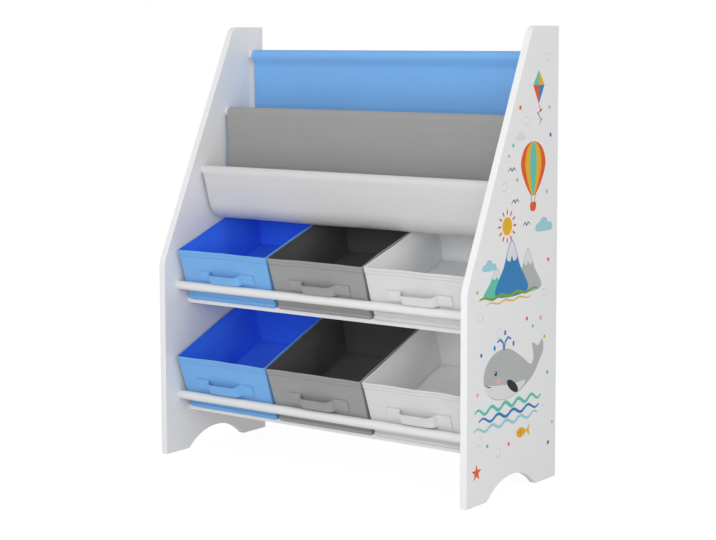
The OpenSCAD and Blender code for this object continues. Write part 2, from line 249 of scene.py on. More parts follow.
# %% Painted board group
LEAST_ROUGH, ROUGH_CHANGE = 0.36, 0.12
paint_group, given, result = new_group("paint on board",
    [("Vector", "NodeSocketVector", None), ("Colour", "NodeSocketColor", (1, 1, 1, 1)),
     ("Tone", "NodeSocketFloat", 0.02)],
    [("Colour", "NodeSocketColor"), ("Height", "NodeSocketFloat"), ("Roughness", "NodeSocketFloat")])
peel = add_node(paint_group, "ShaderNodeTexNoise",
                {"Vector": given.outputs["Vector"], "Scale": 900.0, "Detail": 2.0})
slow = add_node(paint_group, "ShaderNodeTexNoise",
                {"Vector": given.outputs["Vector"], "Scale": 9.0, "Detail": 3.0})
uneven = math_node(paint_group, "SUBTRACT", slow.outputs[0], 0.5)
shade = math_node(paint_group, "MULTIPLY_ADD", uneven, given.outputs["Tone"], 1.0)
tone = add_node(paint_group, "ShaderNodeVectorMath", {0: given.outputs["Colour"], "Scale": shade},
                operation="SCALE")
rough = math_node(paint_group, "MULTIPLY_ADD", slow.outputs[0], ROUGH_CHANGE, LEAST_ROUGH)
paint_group.links.new(tone.outputs[0], result.inputs["Colour"])
paint_group.links.new(peel.outputs[0], result.inputs["Height"])
paint_group.links.new(rough, result.inputs["Roughness"])
print("paint group:", len(paint_group.nodes), "nodes")

# %% [markdown]
# Each material places one of the groups and adds a Bump node, which turns the group's height
# into small changes of the surface's direction. What is the same all over, such as a cloth's
# roughness, is set on the shader itself. Colours are written as the screen shows them and
# changed to linear light, because the shader counts in light. The bins' linings have less
# sheen than their outsides, so their colour stays deep. The blue and white linings are also
# painted lighter than the cloth outside: painted light that stands in for the light coming
# through the thin walls into the bins. The grey lining is darker than its outside.

# %% Materials from the groups
def linear(*rgb):
    """A colour given as the screen shows it, 0 to 255, as linear light with full alpha: a power
    of 2.4, with a straight piece for the darkest."""
    c = np.array(rgb) / 255
    return (*np.where(c <= 0.04045, c / 12.92, ((c + 0.055) / 1.055) ** 2.4).tolist(), 1.0)


def new_material(name):
    """A new material, its node tree and its Principled shader."""
    material = bpy.data.materials.new(name)
    material.use_nodes = True
    return material, material.node_tree, material.node_tree.nodes["Principled BSDF"]


CLOTH_ROUGHNESS, CLOTH_RELIEF, PAINT_RELIEF = 0.85, 0.00012, 0.00002


def cloth_material(name, colour, threads=900.0, sheen=0.15):
    """Woven cloth laid out by the piece's own UV map. Its mirror shine is twice the sheen's
    number, which stays well under a plain surface's 0.5."""
    material, tree, shader = new_material(name)
    where = add_node(tree, "ShaderNodeTexCoord")
    woven = add_node(tree, "ShaderNodeGroup", node_tree=cloth_group)
    tree.links.new(where.outputs["UV"], woven.inputs["Vector"])
    woven.inputs["Colour"].default_value = colour
    woven.inputs["Threads"].default_value = threads
    bump = add_node(tree, "ShaderNodeBump", {"Height": woven.outputs["Height"], "Distance": CLOTH_RELIEF})
    tree.links.new(woven.outputs["Colour"], shader.inputs["Base Color"])
    tree.links.new(bump.outputs[0], shader.inputs["Normal"])
    shader.inputs["Roughness"].default_value = CLOTH_ROUGHNESS
    shader.inputs["Sheen Weight"].default_value = sheen
    shader.inputs["Specular IOR Level"].default_value = 2 * sheen
    return material


def paint_material(name, colour, tone=0.02, metallic=0.0):
    """Satin paint, or with metallic at 1 a plated metal, laid out by the place on the piece. tone
    says how far its lightness wanders."""
    material, tree, shader = new_material(name)
    where = add_node(tree, "ShaderNodeTexCoord")
    coat = add_node(tree, "ShaderNodeGroup", node_tree=paint_group)
    tree.links.new(where.outputs["Object"], coat.inputs["Vector"])
    coat.inputs["Colour"].default_value = colour
    coat.inputs["Tone"].default_value = tone
    bump = add_node(tree, "ShaderNodeBump", {"Height": coat.outputs["Height"], "Distance": PAINT_RELIEF})
    tree.links.new(coat.outputs["Colour"], shader.inputs["Base Color"])
    tree.links.new(coat.outputs["Roughness"], shader.inputs["Roughness"])
    tree.links.new(bump.outputs[0], shader.inputs["Normal"])
    shader.inputs["Metallic"].default_value = metallic
    return material


print("white 232 is", round(linear(232)[0], 3), "in linear light")

# %% The shelf's finishes
board_paint = paint_material("white board paint", linear(232, 232, 233))
bar_paint = paint_material("white bar paint", linear(223, 223, 222))
plastic = paint_material("white cover plastic", linear(232, 232, 234), tone=0.01)
# painted shade: grey for a thin ring that stands in for the shadow in the gap round each cover
painted_gap_shadow = paint_material("painted gap shadow", linear(168, 168, 172), tone=0.01)
zinc = paint_material("zinc plate", linear(170, 172, 176), tone=0.05, metallic=1.0)
brass = paint_material("brass", linear(190, 160, 95), tone=0.05, metallic=1.0)

sling_cloth = {"back": cloth_material("sky blue sling cloth", linear(122, 181, 240)),
               "middle": cloth_material("grey sling cloth", linear(156, 156, 156)),
               "front": cloth_material("white sling cloth", linear(216, 216, 216))}
bin_cloth = {"blue": cloth_material("sky blue bin cloth", linear(118, 177, 234)),
             "grey": cloth_material("grey bin cloth", linear(154, 154, 154)),
             "white": cloth_material("white bin cloth", linear(218, 218, 219))}
# painted light: the blue and white linings are lighter than their bins' outside cloth, for the light that
# comes through the thin walls; the grey one is darker than its outside
lining_painted_light = {"blue": cloth_material("blue lining painted lighter", linear(60, 122, 255), sheen=0.04),
          "grey": cloth_material("dark grey lining", linear(87, 87, 88), sheen=0.04),
          "white": cloth_material("white lining painted lighter", linear(243, 243, 243), sheen=0.04)}
print("finishes made:", len(bpy.data.materials))

# %% [markdown]
# ## Side panels
#
# A panel is a board of 12 mm, cut to an outline of straight edges and arcs, with every edge
# broken by a fine radius so the paint holds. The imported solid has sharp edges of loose
# triangles, which a bevel can't round well. So the outline is worked out again from the same
# few sizes and made a prism, and the Bevel modifier rounds its edges, which then catch light.

# %% Panel outline
panel_low, panel_high = box_mm("side_panel_right")
depth, height = panel_high[1] - panel_low[1], panel_high[2] - panel_low[2]
front_y, inner_x, face_x = panel_low[1], panel_low[0], panel_high[0]
TOP_EDGE, SLOPE_START, BEND_RADIUS, CORNER_RADIUS = 79, 333, 60, 22
FRONT_FOOT, REAR_FOOT, ARCH_HEIGHT = 58, 61, 29.6


def arc(centre, radius, start, end, count):
    """Points on a circle from one angle to another in degrees: the centre plus the radius times
    the angle's cosine and sine."""
    a = np.radians(np.linspace(start, end, count))
    return np.asarray(centre) + radius * np.stack([np.cos(a), np.sin(a)], -1)


def rounded_corner(vertex, before, after, radius, count=9):
    """The arc that touches the sides from before to vertex and from vertex to after. Its middle
    lies on the corner's halving line, the radius over the half angle's sine from the corner."""
    a = (np.array(before) - vertex) / np.linalg.norm(np.array(before) - vertex)
    b = (np.array(after) - vertex) / np.linalg.norm(np.array(after) - vertex)
    half = math.acos(a @ b) / 2
    middle = vertex + radius / math.sin(half) * (a + b) / np.linalg.norm(a + b)
    first = vertex + radius / math.tan(half) * a - middle
    last = vertex + radius / math.tan(half) * b - middle
    start = math.degrees(math.atan2(first[1], first[0]))
    turn = math.degrees(math.atan2(last[1], last[0])) - start
    return arc(middle, radius, start, start + (turn + 180) % 360 - 180, count)


def panel_outline():
    """Outline in (distance behind the front edge, height): feet, arch, leaning front edge. The
    arch is part of a circle whose radius is (chord squared / 4 + rise squared) / (2 rise)."""
    bend, shoulder = np.array([0, SLOPE_START]), np.array([depth - TOP_EDGE, height])
    chord = depth - FRONT_FOOT - REAR_FOOT
    radius = (chord ** 2 / 4 + ARCH_HEIGHT ** 2) / (2 * ARCH_HEIGHT)
    open_half = math.degrees(math.asin(chord / 2 / radius))
    arch = arc([FRONT_FOOT + chord / 2, ARCH_HEIGHT - radius], radius, 90 + open_half, 90 - open_half, 33)
    return np.concatenate([
        [[0, 0]], arch, [[depth, 0], [depth, height]],
        rounded_corner(shoulder, [depth, height], bend, CORNER_RADIUS),
        rounded_corner(bend, shoulder, [0, 0], BEND_RADIUS)])


# %% Panels
def prism(outline, x0, x1):
    """Points and faces of an outline in (y, z) given a thickness along X: the outline at x0 and
    again at x1, both filled, and a band of four-sided faces between them."""
    count = len(outline)
    ring = np.arange(count)
    points = np.concatenate([np.column_stack([np.full(count, x), outline]) for x in (x0, x1)])
    sides = np.stack([ring, (ring + 1) % count, (ring + 1) % count + count, ring + count], -1)
    return points, [ring[::-1], ring + count, *sides]


def bevel(piece, width):
    """Rounds a piece's sharp edges and keeps its flats flat."""
    edge = piece.modifiers.new("edge", "BEVEL")
    edge.width, edge.segments, edge.limit_method = width * MM, 3, "ANGLE"
    edge.angle_limit = math.radians(40)
    edge.harden_normals = True
    return piece


EDGE_RADIUS = 1.1
shelf_outline = panel_outline() + [front_y, 0]
for side, sign in (("left", -1), ("right", 1)):
    points, faces = prism(shelf_outline, sign * inner_x, sign * face_x)
    panel = add_mesh(f"panel_{side}", points, faces, [board_paint], "frame")
    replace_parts(bevel(panel, EDGE_RADIUS), f"side_panel_{side}")
print("panel outline:", len(shelf_outline), "points,", round(depth), "mm deep,", round(height), "mm high")

# %% [markdown]
# ## Bolt covers
#
# A bolt goes through the panel into each bar's end, and a white plastic cover hides its head.
# A cover could be a squashed sphere, but a turned profile gives the low dome and the soft
# shoulder of the real one. The dark line round it is painted shade: a thin grey ring that lies a
# hair above the paint and stands in for the shadow in the gap to the board. All nine of a side
# are one mesh, as they are one imported solid.

# %% Bolt covers
COVER_RADIUS, GAP_RADIUS, DOME = 6.5, 6.95, 0.5
BARS = ("upper_guard_rail", "lower_guard_rail", "upper_front_crossbar", "lower_front_crossbar",
        "upper_rear_crossbar", "lower_rear_crossbar", "top_sling_rod", "middle_sling_rod",
        "front_sling_rod")


def turned(profile, count=32):
    """A profile of (radius, height) turned about X: the height is x, the radius times the turn's
    cosine and sine is y and z. The first column is repeated, to close the grid."""
    a = np.linspace(0, 2 * math.pi, count + 1)
    r, h = np.array(profile, float).T[:, :, None]
    return np.stack([h + 0 * a, r * np.cos(a), r * np.sin(a)], -1)


dome_profile = [(0, -0.9), (COVER_RADIUS, -0.9), (COVER_RADIUS, 0.1), (6.7, 0.38), (5.6, 0.5),
                (3, DOME), (0, DOME)]
# a thin grey ring of painted shade, a hair above the paint, where the gap round the cover is dark
gap_shadow_ring_profile = [(COVER_RADIUS - 0.2, -0.2), (GAP_RADIUS, -0.2), (GAP_RADIUS, 0.04),
                (COVER_RADIUS - 0.2, 0.04), (COVER_RADIUS - 0.2, -0.2)]
for side, sign in (("left", -1), ("right", 1)):
    for label, profile, finish in (("cover", dome_profile, plastic), ("cover_painted_gap_shadow", gap_shadow_ring_profile, painted_gap_shadow)):
        one = turned(profile)
        rows, cols = one.shape[:2]
        places = np.array([[sign * face_x, *bar_centre(bar)] for bar in BARS])
        points = one.reshape(1, -1, 3) * [sign, 1, 1] + places[:, None]
        cells = grid_faces(rows, cols)
        faces = np.concatenate([cells + k * rows * cols for k in range(len(BARS))])
        piece = add_mesh(f"{label}_{side}", points, faces, [finish], "frame")
        if label == "cover":
            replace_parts(piece, f"bolt_covers_{side}")
print("covers on each side:", len(BARS))

# %% [markdown]
# ## Print on the panels
#
# The outer faces carry a cheerful print: a balloon, a kite, hills and a whale over waves, all
# of plain rounded shapes. A real one is printed on the board, and here it could be a texture.
# Instead every shape is its own outline, cut as a film of paint a tenth of a millimetre thick,
# so its edges stay sharp from near by, and shapes that come later in the list lie on top.
# Places are millimetres behind the front edge and above the floor.

# %% Paths
def distance_along(path):
    """How far along a path each of its points lies: the running sum of its steps' lengths."""
    return np.concatenate([[0], np.cumsum(np.linalg.norm(np.diff(path, axis=0), axis=1))])


def resample(path, step):
    """The same path with points a step apart, and the distance along it of each."""
    reach = distance_along(path)
    at = np.linspace(0, reach[-1], int(reach[-1] / step) + 2)
    return np.stack([np.interp(at, reach, path[:, k]) for k in range(2)], -1), at


def normal_of(path):
    """Unit normals of a path in two coordinates, a quarter turn from the way it runs."""
    way = np.gradient(path, axis=0)
    way /= np.linalg.norm(way, axis=1)[:, None]
    return np.stack([-way[:, 1], way[:, 0]], -1)


print("a quarter circle of radius 100 is", round(distance_along(arc([0, 0], 100, 0, 90, 50))[-1], 1), "long")

# %% Shapes for the print
def oval(u, z, ru, rz, turn=0.0, count=36):
    """An ellipse about (u, z): the radii times a circle's cosine and sine, turned by an angle in
    degrees."""
    a = np.linspace(0, 2 * math.pi, count, endpoint=False)
    c, s = math.cos(math.radians(turn)), math.sin(math.radians(turn))
    return np.column_stack([u + ru * np.cos(a) * c - rz * np.sin(a) * s,
                            z + ru * np.cos(a) * s + rz * np.sin(a) * c])


def smooth_shape(u, z, corners, scale=(1, 1), count=8):
    """A closed curve through the corners: each span is a cubic that leaves and arrives along the
    line between the corner's neighbours."""
    k = np.array(corners, float) * scale
    before, after, beyond = np.roll(k, 1, 0), np.roll(k, -1, 0), np.roll(k, -2, 0)
    s = np.linspace(0, 1, count, endpoint=False)[None, :, None]
    a, b, c, d = (v[:, None] for v in (before, k, after, beyond))
    curve = 0.5 * (2 * b + (c - a) * s + (2 * a - 5 * b + 4 * c - d) * s ** 2
                   + (3 * b - a - 3 * c + d) * s ** 3)
    return curve.reshape(-1, 2) + [u, z]


def ribbon(points, width):
    """A brush stroke: the line offset to both sides, thinner towards its ends by a power of a
    sine."""
    line, _ = resample(np.array(points, float), 2.0)
    size = np.sin(np.linspace(0.12, math.pi - 0.12, len(line))) ** 0.35 * width / 2
    side = normal_of(line) * size[:, None]
    return np.concatenate([line + side, (line - side)[::-1]])


def wavy(u0, u1, z, high, turns, width):
    """A sine wave as a brush stroke from u0 to u1 about the height z."""
    u = np.linspace(u0, u1, 60)
    phase = (u - u0) / (u1 - u0) * turns * 2 * math.pi
    return ribbon(np.column_stack([u, z + high * np.sin(phase)]), width)


def cloud(u, z, size):
    """A flat-based cloud of three humps."""
    return smooth_shape(u, z, [(-30, -9), (-31, 3), (-17, 8), (-6, 17), (9, 14), (15, 6), (28, 5), (30, -9),
                               (0, -11)], (size, size))


print("a cloud's outline has", len(cloud(0, 0, 1)), "points")

# %% The print's colours and outlines
INK = {"rust": linear(226, 84, 14), "ochre": linear(226, 174, 26), "teal": linear(96, 192, 172),
       "blue": linear(46, 124, 184), "mist": linear(154, 204, 212), "grey": linear(176, 179, 178),
       "pale": linear(220, 220, 222), "dark": linear(30, 32, 40), "pink": linear(238, 170, 166),
       "leaf": linear(110, 160, 60)}
BALLOON = [(0, 46), (25, 37), (37, 12), (27, -14), (8, -37), (-8, -37), (-27, -14), (-37, 12), (-25, 37)]
WHALE = [(-72, -4), (-66, 20), (-42, 35), (-8, 36), (26, 20), (50, 6), (58, 16), (54, 36), (70, 30),
         (82, 38), (84, 22), (72, 6), (60, -8), (44, -18), (14, -30), (-22, -34), (-54, -26)]
BELLY = [(-70, -8), (-40, -11), (0, -15), (36, -15), (14, -29), (-22, -33), (-54, -25)]


def hill(u, z, width, high, ink, cap):
    """A round-topped mountain with a pale cap."""
    slope = [(-width / 2, 0), (-width / 4, high * 0.52), (0, high), (width / 4, high * 0.52),
             (width / 2, 0)]
    top = [(-width * 0.16, high * 0.68), (0, high * 0.985), (width * 0.16, high * 0.68),
           (width * 0.06, high * 0.6), (0, high * 0.7), (-width * 0.06, high * 0.6)]
    return [(ink, smooth_shape(u, z, slope)), (cap, smooth_shape(u, z, top))]


print("inks:", ", ".join(INK))

# %% The print's sky
# balloon
PRINT = [(ink, smooth_shape(188, 506, BALLOON, scale))
         for ink, scale in (("rust", (1, 1)), ("ochre", (0.66, 0.99)), ("teal", (0.27, 0.98)))]
PRINT += [("dark", ribbon([(181, 470), (183.5, 456)], 1.3)),
          ("dark", ribbon([(195, 470), (192.5, 456)], 1.3)),
          ("rust", smooth_shape(188, 449, [(-8, 6), (8, 6), (6.5, -6), (-6.5, -6)]))]
# kite and its tail
PRINT += [(ink, np.array(corners)) for ink, corners in (
    ("teal", [(203, 664), (186, 640), (203, 640)]), ("ochre", [(203, 664), (203, 640), (220, 640)]),
    ("rust", [(186, 640), (203, 610), (203, 640)]), ("blue", [(203, 640), (203, 610), (220, 640)]))]
PRINT += [("dark", ribbon([(203, 610), (208, 602), (202, 594), (210, 585), (206, 577)], 1.4)),
          ("rust", oval(210, 600, 4, 1.8, 30)), ("teal", oval(201, 595, 4, 1.8, -30)),
          ("ochre", oval(211, 585, 4, 1.8, 25))]
# sun with its rays
PRINT += [("ochre", oval(112, 424, 14, 14))]
PRINT += [("rust", oval(112 + 22 * math.cos(a), 424 + 22 * math.sin(a), 4.6, 1.7, math.degrees(a)))
          for a in np.linspace(0, 2 * math.pi, 12, endpoint=False)]
# clouds and birds
PRINT += [("mist", cloud(222, 416, 0.8)), ("mist", cloud(62, 366, 0.62)), ("pale", cloud(150, 560, 0.5))]
PRINT += [("dark", ribbon([(150 + u, 452 + z), (157 + u, 458 + z), (161 + u, 452 + z), (166 + u, 458 + z),
                           (172 + u, 453 + z)], 1.8)) for u, z in ((-26, 6), (-36, 56), (8, -32))]
print("shapes in the sky:", len(PRINT))

# %% The print's hills and sea
# hills
PRINT += hill(174, 318, 78, 66, "grey", "pale") + hill(82, 318, 70, 44, "teal", "pale")
PRINT += hill(126, 318, 92, 84, "blue", "pale")
PRINT += [("leaf", wavy(34, 204, 317, 2.2, 3.5, 5)), ("ochre", wavy(56, 182, 308, 1.8, 3, 2.6))]
# whale over its waves
whale = [("grey", smooth_shape(0, 0, WHALE)), ("pale", smooth_shape(0, 0, BELLY)),
         ("dark", oval(-42, 6, 3.2, 3.6)), ("pale", oval(-43, 7.4, 1.1, 1.1)),
         ("pink", oval(-34, -6, 5.5, 3.6)), ("dark", ribbon([(-68, -6), (-62, -10), (-54, -11)], 1.6)),
         ("dark", oval(2, -18, 17, 6.5, -32)),
         ("blue", ribbon([(-22, 36), (-23, 46), (-30, 52), (-39, 49)], 3.4)),
         ("blue", ribbon([(-20, 36), (-18, 47), (-10, 53), (-2, 49)], 3.4))]
whale += [("blue", oval(u, z, 2.6, 3.8)) for u, z in ((-45, 42), (4, 42), (-18, 60))]
PRINT += [(ink, 1.12 * shape + [128, 191]) for ink, shape in whale]
PRINT += [("teal", wavy(22, 216, 144, 4.5, 5, 6)), ("blue", wavy(34, 210, 129.5, 4, 4, 5)),
          ("mist", wavy(20, 206, 116, 3.6, 4.5, 5))]
# fish and starfish
PRINT += [("ochre", smooth_shape(158, 92, [(-16, 0), (-6, 8), (8, 5), (14, 1), (24, 9), (22, 0), (24, -9),
                                           (14, -1), (8, -5), (-6, -8)])),
          ("dark", oval(149, 93, 1.3, 1.3)), ("rust", ribbon([(154, 86), (157, 92), (154, 98)], 1.6))]
star = [(13 * k * math.cos(a + arm * 1.2566), 13 * k * math.sin(a + arm * 1.2566))
        for arm in range(5) for a, k in ((1.571, 1), (2.199, 0.45))]
PRINT += [("rust", smooth_shape(28, 52, star))]
PRINT += [("ochre", oval(28 + 4 * math.cos(a), 52 + 4 * math.sin(a), 0.9, 0.9)) for a in range(6)]
# dots between the pictures
PRINT += [(ink, oval(u, z, 1.3 * size, 1.3 * size)) for ink, u, z, size in (
    ("rust", 148, 606, 2.6), ("teal", 128, 548, 2.4), ("ochre", 116, 532, 2.0), ("blue", 240, 560, 2.6),
    ("ochre", 236, 604, 2.2), ("pink", 230, 470, 2.8), ("teal", 140, 494, 2.2), ("rust", 236, 360, 2.4),
    ("ochre", 28, 330, 2.4), ("pink", 214, 268, 3), ("teal", 190, 258, 2.2), ("rust", 172, 272, 2.4),
    ("blue", 40, 232, 2.4), ("ochre", 226, 236, 2.4), ("pink", 30, 172, 2.6), ("teal", 236, 176, 2.6),
    ("rust", 120, 80, 2.2), ("blue", 240, 60, 2.6), ("ochre", 252, 92, 2.2), ("teal", 58, 88, 2.4))]
print("shapes in the print:", len(PRINT))

# %% Laying the print on both panels
FILM_SUNK, FILM_LOWEST, FILM_STEP, INK_MIRROR = 0.05, 0.08, 0.0012, 0.2
inks = {name: paint_material(f"{name} print", colour, tone=0.1) for name, colour in INK.items()}
for ink in inks.values():
    ink.node_tree.nodes["Principled BSDF"].inputs["Specular IOR Level"].default_value = INK_MIRROR
order = list(INK)
for side, sign in (("left", -1), ("right", 1)):
    points, faces, pick, count = [], [], [], 0
    for layer, (ink, shape) in enumerate(PRINT):
        top = face_x + FILM_LOWEST + FILM_STEP * layer
        part, cells = prism(np.array(shape) + [front_y, 0], sign * (face_x - FILM_SUNK), sign * top)
        points.append(part)
        faces += [[v + count for v in face] for face in cells]
        pick += [order.index(ink)] * len(cells)
        count += len(part)
    film = add_mesh(f"print_{side}", np.concatenate(points), faces, [inks[name] for name in order],
                    "frame", merge=0.0005, pick=pick)
    film.data.shade_flat()
    print(side, "print:", len(film.data.vertices), "points")

# %% [markdown]
# ## Bars, boards and hidden fasteners
#
# The bars are painted wooden rounds, the two boards thin painted slabs, and a brass insert in
# each bar's end takes a zinc-plated bolt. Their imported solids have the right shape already.
# New meshes would add nothing to plain rounds and slabs, so the solids stay as they are and
# only get their finish.

# %% Finishes for the solids that stay
def dress(node, finish):
    """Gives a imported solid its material."""
    data = frame["nodes"][node].data
    data.materials.clear()
    data.materials.append(finish)


for bar in BARS:
    dress(bar, bar_paint)
for level in LEVELS:
    dress(f"{level}_shelf_board", board_paint)
for side in ("left", "right"):
    dress(f"bolts_{side}", zinc)
    dress(f"rod_inserts_{side}", brass)
print("solids that keep their shape:", len(BARS) + len(LEVELS) + 4)

# %% [markdown]
# ## Sling
#
# Each sheet is one length of cotton: the upper end is turned round its bar and sewn to the
# back of the sheet, which makes a sleeve. The sheet then hangs straight down, and two of the
# three end in a pocket that turns up and is sewn to the middle sheet. A cloth simulation could
# drape them, but the sheets are held at both ends and hardly free to fall. So the path of each
# is drawn from the side, softened a little as cloth would be, and carried across the shelf.

# %% Sizes of the sling
CLOTH, SLEEVE, SLEEVE_DROP = 1.2, 9.6, 1.2
SEAM_GAP, HEM_GAP = 0.1, 0.05
SEAM_DROP, SEAM_ALLOWANCE = 16.0, 9.0
REAR_POCKET_DROP, FRONT_POCKET_DROP = 14.6, 86.1
FRONT_LEAN, BELLY_RADIUS = 15.8, 38.4
MIDDLE_DROP, SEWN_HEM = 77.3, 12.0
sling_centres = {part: bar_centre(f"{bar}_sling_rod") - [0, SLEEVE_DROP]
                 for part, bar in (("back", "top"), ("middle", "middle"), ("front", "front"))}
front_rod = bar_centre("front_sling_rod")
print("sleeves' middles", {part: centre.round(1).tolist() for part, centre in sling_centres.items()})


# %% Cloth paths from the side
def soften(path, reach=2.5):
    """The path with its kinks eased: every point becomes the mean of its neighbours, weighted by
    a bell curve of their distance."""
    path, _ = resample(np.asarray(path, float), 1.0)
    steps = np.arange(-8, 9)
    bell = np.exp(-(steps / reach) ** 2)
    ends = [np.repeat(path[:1], 8, 0), np.repeat(path[-1:], 8, 0)]
    long = np.concatenate([ends[0], path, ends[1]])
    return np.stack([np.convolve(long[:, k], bell / bell.sum(), "valid") for k in range(2)], -1)


def sleeve_path(centre, lean, offset=SLEEVE):
    """The sleeve: from the seam's loose end up, round the bar and down to the seam again, as a
    circle between the two straight pieces that touch it. lean is the sheet's tilt in degrees,
    offset its distance in front of the sleeve's middle."""
    a = math.radians(lean)
    out = np.array([-math.cos(a), -math.sin(a)])
    down = np.array([math.sin(a), -math.cos(a)])
    touch = []
    for reach, sign in ((offset - CLOTH - SEAM_GAP, 1), (offset, -1)):
        slant = math.acos(SLEEVE / math.hypot(reach, SEAM_DROP))
        touch.append(math.atan2(SEAM_DROP, reach) + sign * slant)
    turns = np.linspace(touch[0], 2 * math.pi + touch[1], 60)[:, None]
    circle = centre + SLEEVE * (np.cos(turns) * out + np.sin(turns) * down)
    behind = np.linspace(SEAM_DROP + SEAM_ALLOWANCE, SEAM_DROP, 10)[:, None] * down
    seam = centre + (offset - CLOTH - SEAM_GAP) * out + behind
    return np.concatenate([seam, circle, [centre + offset * out + SEAM_DROP * down]])


# the middle sheet hangs straight down from its seam
middle_y = sling_centres["middle"][0] - SLEEVE
middle_low = front_rod[1] - MIDDLE_DROP
paths = {"middle": np.concatenate([sleeve_path(sling_centres["middle"], 0), [[middle_y, middle_low]]])}
print("the middle sheet's path is", round(distance_along(paths["middle"])[-1]), "mm long")

# %% Pocket paths
# the back sheet turns up in a half circle behind the middle one
back_y = sling_centres["back"][0] - CLOTH
rear_hem_y = middle_y + CLOTH + HEM_GAP
rear_radius = (back_y - rear_hem_y) / 2
rear_centre = np.array([back_y - rear_radius, front_rod[1] - REAR_POCKET_DROP + CLOTH / 2 + rear_radius])
paths["back"] = np.concatenate([
    sleeve_path(sling_centres["back"], 0, CLOTH), arc(rear_centre, rear_radius, 0, -180, 40),
    [[rear_hem_y, rear_centre[1] + SEWN_HEM]]])

# the front sheet leans forward, turns round a wide belly and comes up against the middle one
lean = math.radians(FRONT_LEAN)
pocket_low = front_rod[1] - FRONT_POCKET_DROP
drop = (sling_centres["front"][1] - pocket_low - CLOTH / 2 - BELLY_RADIUS
        + (BELLY_RADIUS - SLEEVE) * math.sin(lean))
belly = (sling_centres["front"] + (BELLY_RADIUS - SLEEVE) * np.array([math.cos(lean), math.sin(lean)])
         + drop / math.cos(lean) * np.array([math.sin(lean), -math.cos(lean)]))
front_hem_y = middle_y - CLOTH - HEM_GAP
turn_radius = front_hem_y - belly[0]
turn_centre = np.array([belly[0], pocket_low + CLOTH / 2 + turn_radius])
paths["front"] = np.concatenate([
    sleeve_path(sling_centres["front"], FRONT_LEAN),
    arc(belly, BELLY_RADIUS, 180 + FRONT_LEAN, 270, 30),
    arc(turn_centre, turn_radius, 275, 360, 14), [[front_hem_y, turn_centre[1] + SEWN_HEM]]])
print("ends of the paths", {part: np.round(path[[0, -1]], 1).tolist() for part, path in paths.items()})

# %% [markdown]
# Cotton is never quite flat. A noise texture on a Displace modifier could ruffle each sheet by
# itself, but then sheets that are sewn together would part. So one field of small offsets,
# soft and long across the shelf, with finer puckers near the seams, moves every layer alike. It
# fades out at the bars, where the cloth is held.

# %% Slack of the cloth
def ease(value, low, high):
    """0 below low, 1 above high, and a smooth step between."""
    t = np.clip((value - low) / (high - low), 0, 1)
    return t * t * (3 - 2 * t)


FREE_FROM, FREE_AT = 9, 55


def slack(points):
    """Offsets of cloth points. In Y, a sum of three long sine waves over X and Z, with short
    puckers near the seams; in Z, one long wave. Both grow from 0 at a bar with the distance."""
    x, y, z = np.moveaxis(points, -1, 0)
    near = np.min([np.hypot(y - c[0], z - c[1]) for c in sling_centres.values()], axis=0)
    free = ease(near, FREE_FROM, FREE_AT)
    sewn = np.exp(-((near - SEAM_DROP) / 7) ** 2)
    waves = (0.55 * np.sin(x / 31 + z / 47) + 0.4 * np.sin(x / 17.3 - z / 29 + 1.7)
             + 0.35 * np.sin(x / 58 - z / 21 + 0.6))
    puckers = 0.16 * np.sin(x / 2.6 + 0.8 * np.sin(x / 11))
    dy = free * waves + sewn * puckers
    dz = free * (0.35 + 0.35 * np.sin(x / 43 + y / 19))
    return np.stack([np.zeros_like(x), dy, dz], -1)


sample = slack(np.array([[x, *sling_centres["front"] - [0, 60]] for x in (0.0, 50.0, 100.0)]))
print("the front sheet stands off its path by", sample[:, 1].round(2).tolist(), "mm at three places")

# %% [markdown]
# A stitch that shows is a short length of thread that dips into the cloth at both ends. A
# picture of stitches would lie flat. Real ones catch light, so each is a low spindle with its
# ends in the cloth. Many are built at once: one spindle is set along its seam at every place.

# %% Stitches
STITCH_RINGS, STITCH_SPOKES = 6, 7


def stitches(centres, run, rise, length=3.0, width=0.55, height=0.3):
    """Points and faces of spindles at the centres: rings whose size goes from 0 over 1 back to 0,
    set out along run, with their half width to the side and their height along rise."""
    centres = np.asarray(centres, float).reshape(-1, 3)
    run, rise = np.broadcast_to(run, centres.shape), np.broadcast_to(rise, centres.shape)
    side = np.cross(run, rise)
    places = np.array([-0.5, -0.42, -0.2, 0.2, 0.42, 0.5]) * length
    size = np.array([0, 0.6, 1, 1, 0.6, 0])
    around = np.linspace(0, 2 * math.pi, STITCH_SPOKES)
    ring, turn = (g.ravel() for g in np.meshgrid(np.arange(STITCH_RINGS), around, indexing="ij"))
    local = np.stack([places[ring], size[ring] * np.sin(turn) * height,
                      size[ring] * np.cos(turn) * width / 2], -1)
    points = (centres[:, None] + local[None, :, 0:1] * run[:, None] + local[None, :, 1:2] * rise[:, None]
              + local[None, :, 2:3] * side[:, None])
    first = STITCH_RINGS * STITCH_SPOKES * np.arange(len(centres))[:, None, None]
    faces = (grid_faces(STITCH_RINGS, STITCH_SPOKES)[None] + first).reshape(-1, 4)
    return points.reshape(-1, 3), faces


